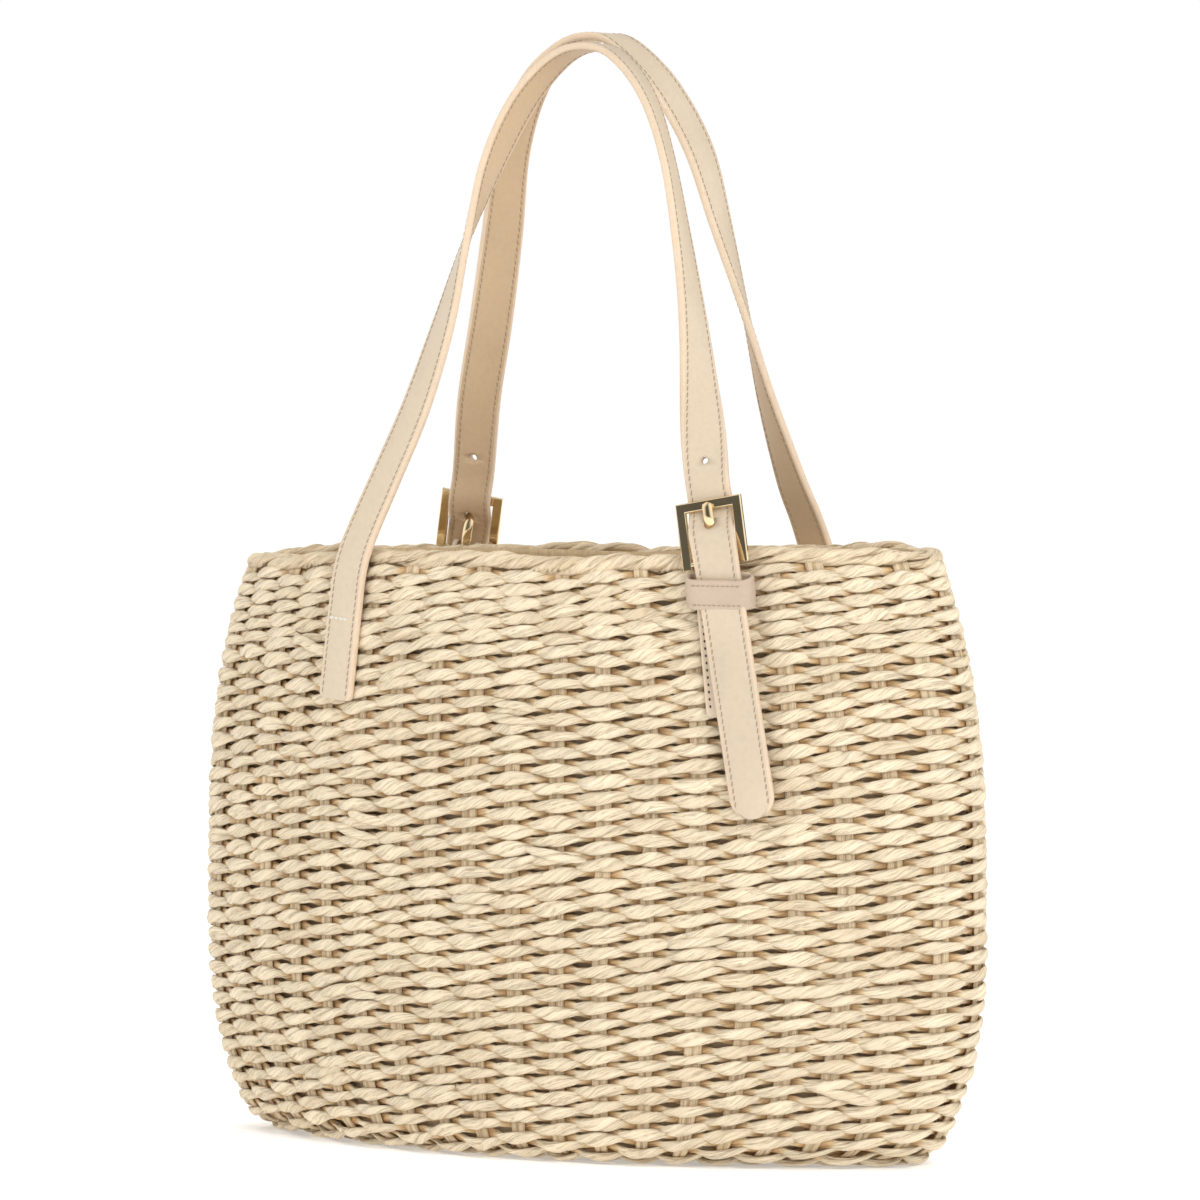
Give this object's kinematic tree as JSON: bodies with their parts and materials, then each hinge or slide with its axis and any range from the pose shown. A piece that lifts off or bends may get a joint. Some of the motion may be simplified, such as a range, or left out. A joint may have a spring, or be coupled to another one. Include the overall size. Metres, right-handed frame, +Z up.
{
  "type": "beach bag",
  "caption": "Woven paper-straw tote with an oval base, fabric lining and leather shoulder straps with adjustable buckles.",
  "frame": {"origin": "middle of the base, on the floor", "axes": "+X along the bag's width, to the right seen from the front; -Y towards the front; +Z up"},
  "size_m": [0.37, 0.141, 0.4757],
  "materials": {
    "paper_cord": "twisted natural paper cord, matt",
    "lining_fabric": "plain woven cotton, matt",
    "tape_fabric": "ribbed binding tape",
    "strap_leather": "smooth, soft sheen",
    "backing_leather": "smooth, matt",
    "keeper_leather": "smooth, soft sheen",
    "gold_metal": "polished pale gold plating"
  },
  "bodies": {
    "bag": {"woven_wall": "paper_cord", "woven_base": "paper_cord", "rim_border": "paper_cord", "lining_wall": "lining_fabric", "lining_floor": "lining_fabric", "rim_tape": "tape_fabric", "front_sewn_end": "strap_leather", "front_buckle_tab": "strap_leather", "front_strap_bridge": "strap_leather", "back_sewn_end": "strap_leather", "back_buckle_tab": "strap_leather", "back_strap_bridge": "strap_leather"},
    "front_handle": {"front_handle_face": "strap_leather", "front_handle_backing": "backing_leather", "front_buckle_frame": "gold_metal"},
    "front_prong": {"front_buckle_prong": "gold_metal"},
    "front_keeper": {"front_keeper_loop": "keeper_leather"},
    "front_tail": {"front_strap_tail": "strap_leather"},
    "back_handle": {"back_handle_face": "strap_leather", "back_handle_backing": "backing_leather", "back_buckle_frame": "gold_metal"},
    "back_prong": {"back_buckle_prong": "gold_metal"},
    "back_keeper": {"back_keeper_loop": "keeper_leather"},
    "back_tail": {"back_strap_tail": "strap_leather"}
  },
  "joints": [
    {"name": "front_handle_swing", "type": "hinge", "parent": "bag", "child": "front_handle", "pos_m": [0.0886, -0.0568, 0.2525], "axis": [0.9915, -0.0073, 0.1299], "range_deg": [0, 90]},
    {"name": "front_prong_lift", "type": "hinge", "parent": "front_handle", "child": "front_prong", "pos_m": [0.0886, -0.0568, 0.2525], "axis": [0.9698, 0.171, 0.1736], "range_deg": [0, 5]},
    {"name": "front_keeper_slide", "type": "slide", "parent": "bag", "child": "front_keeper", "axis": [0.1407, 0.053, -0.9886], "range_m": [0, 0.006]},
    {"name": "front_tail_lift", "type": "hinge", "parent": "bag", "child": "front_tail", "pos_m": [0.09362, -0.06132, 0.22465], "axis": [-0.974, -0.1717, -0.1478], "range_deg": [0, 50], "stiffness_Nm_per_rad": 0.01},
    {"name": "back_handle_swing", "type": "hinge", "parent": "bag", "child": "back_handle", "pos_m": [-0.0886, 0.0568, 0.2525], "axis": [-0.9915, 0.0073, 0.1299], "range_deg": [0, 90]},
    {"name": "back_prong_lift", "type": "hinge", "parent": "back_handle", "child": "back_prong", "pos_m": [-0.0886, 0.0568, 0.2525], "axis": [-0.9698, -0.171, 0.1736], "range_deg": [0, 5]},
    {"name": "back_keeper_slide", "type": "slide", "parent": "bag", "child": "back_keeper", "axis": [-0.1407, -0.053, -0.9886], "range_m": [0, 0.006]},
    {"name": "back_tail_lift", "type": "hinge", "parent": "bag", "child": "back_tail", "pos_m": [-0.09362, 0.06132, 0.22465], "axis": [0.974, 0.1717, -0.1478], "range_deg": [0, 50], "stiffness_Nm_per_rad": 0.01}
  ]
}
